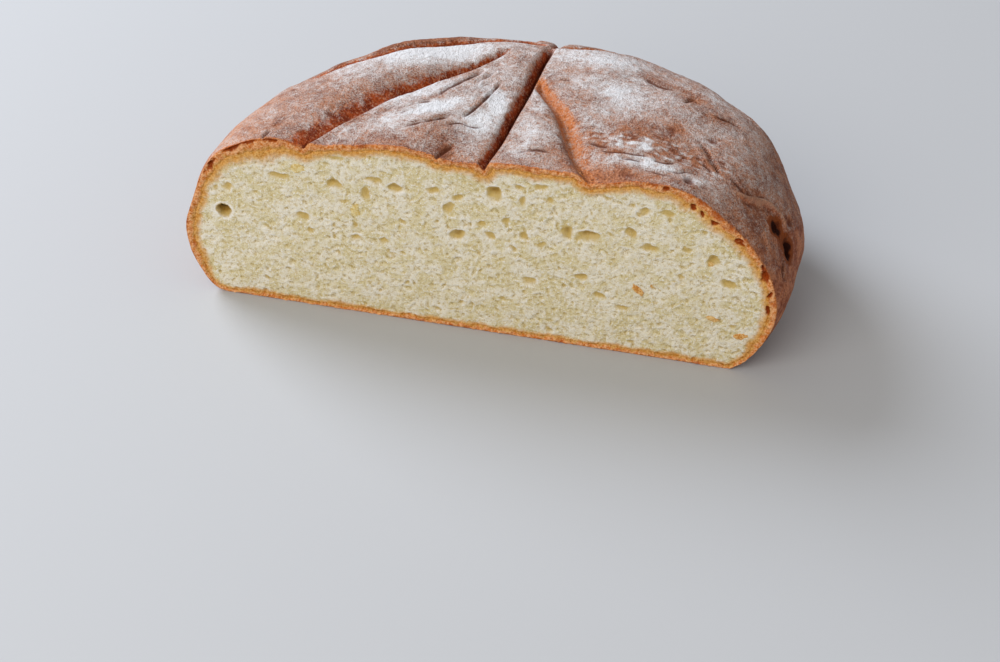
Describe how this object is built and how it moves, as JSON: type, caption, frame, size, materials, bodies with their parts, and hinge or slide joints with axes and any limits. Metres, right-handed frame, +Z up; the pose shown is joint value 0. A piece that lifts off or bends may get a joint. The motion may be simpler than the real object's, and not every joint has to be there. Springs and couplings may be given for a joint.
{
  "type": "onion bread loaf",
  "caption": "Round rustic onion loaf, cut straight across, with a floured crust folded to a star and an open cream crumb.",
  "frame": {"origin": "under the middle of the loaf's box, on the surface it stands on", "axes": "+X along the cut face, +Y from the cut face back into the loaf, +Z up; the cut face looks along -Y"},
  "size_m": [0.2434, 0.1306, 0.0842],
  "materials": {
    "crust": "matt copper-brown baked crust, dusted with pale flour on its crests",
    "crumb": "matt cream crumb with open pores, yellow inside, and a thin toasted edge"
  },
  "bodies": {
    "root": {"loaf": "crust"}
  },
  "joints": []
}
